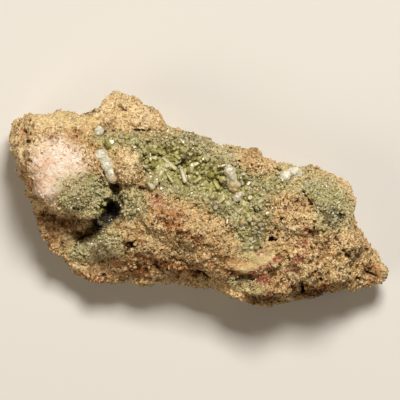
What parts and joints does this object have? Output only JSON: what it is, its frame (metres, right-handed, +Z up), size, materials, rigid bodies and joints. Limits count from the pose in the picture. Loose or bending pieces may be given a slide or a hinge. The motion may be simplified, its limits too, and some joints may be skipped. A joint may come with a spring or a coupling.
{
  "type": "fluorapatite specimen",
  "caption": "Rough hand specimen: a slab of buff porous rock with a vug, yellow-green apatite crystal crusts in its hollows and small white chalcedony knobs.",
  "frame": {"origin": "on the surface the stone lies on, under the middle of its bounding box", "axes": "+X along the slab towards its pointed tip, +Z up out of the crystal face"},
  "size_m": [0.094, 0.0534, 0.0294],
  "materials": {
    "buff_rock": "rough, sugary and pitted, buff to ochre with pale pink, salmon and dark red stains",
    "apatite": "glassy small crystals, sage to yellow-green, partly see-through",
    "chalcedony": "smooth, waxy, milky white to pale grey, slightly translucent"
  },
  "bodies": {
    "root": {"matrix": "buff_rock", "vug_lining": "apatite", "apatite_crust_centre": "apatite", "apatite_crust_left": "apatite", "apatite_crust_lower": "apatite", "apatite_crust_right": "apatite", "chalcedony_stalk": "chalcedony", "chalcedony_knob_left": "chalcedony", "chalcedony_knob_centre": "chalcedony", "chalcedony_knob_right": "chalcedony", "white_crystal": "chalcedony"}
  },
  "joints": []
}
